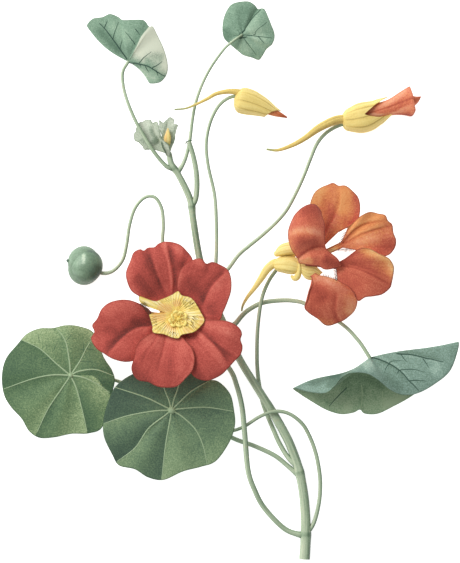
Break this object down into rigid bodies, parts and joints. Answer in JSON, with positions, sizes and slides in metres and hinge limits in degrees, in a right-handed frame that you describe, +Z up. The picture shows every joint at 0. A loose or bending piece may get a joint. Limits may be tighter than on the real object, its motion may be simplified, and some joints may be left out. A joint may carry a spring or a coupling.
{
  "type": "nasturtium sprig",
  "caption": "Cut nasturtium sprig lying flat: curved stem, shield-shaped leaves on long looping stalks, spurred open flowers, buds and a lobed fruit.",
  "frame": {"origin": "on the surface that the sprig lies on, under the middle of its outline", "axes": "+Y along the sprig from its cut end to its growing tip, +Z up from the surface, +X to the right seen from above"},
  "size_m": [0.1833, 0.2236, 0.0311],
  "materials": {
    "stem": "satin",
    "leaf_upper_side": "matte",
    "leaf_underside": "matte",
    "young_leaf": "matte",
    "red_petal": "matte",
    "orange_petal": "matte",
    "calyx": "matte",
    "fruit": "satin"
  },
  "bodies": {
    "root": {"main_stem": "stem", "side_shoot": "stem", "leaf_stalk_left": "stem", "leaf_stalk_centre": "stem", "leaf_stalk_right": "stem", "leaf_stalk_upper_left": "stem", "leaf_stalk_upper_right": "stem", "flower_stalk_red": "stem", "flower_stalk_orange": "stem", "bud_stalk_left": "stem", "bud_stalk_right": "stem", "fruit_stalk": "stem", "leaf_left": "leaf_upper_side", "leaf_centre": "leaf_upper_side", "leaf_right": "leaf_underside", "leaf_upper_left": "leaf_underside", "leaf_upper_right": "leaf_underside", "tip_leaf_left": "young_leaf", "tip_leaf_right": "young_leaf", "tip_bract": "young_leaf", "tip_bud": "calyx", "red_petal_upper_left": "red_petal", "red_petal_upper_right": "red_petal", "red_petal_lower_right": "red_petal", "red_petal_bottom": "red_petal", "red_petal_left": "red_petal", "red_throat": "calyx", "red_stamens": "calyx", "red_calyx": "calyx", "orange_petal_top": "orange_petal", "orange_petal_upper_right": "orange_petal", "orange_petal_lower_right": "orange_petal", "orange_petal_bottom": "orange_petal", "orange_petal_front": "orange_petal", "orange_calyx": "calyx", "left_bud_calyx": "calyx", "left_bud_petals": "orange_petal", "right_bud_calyx": "calyx", "right_bud_petals": "orange_petal", "fruit": "fruit"}
  },
  "joints": []
}
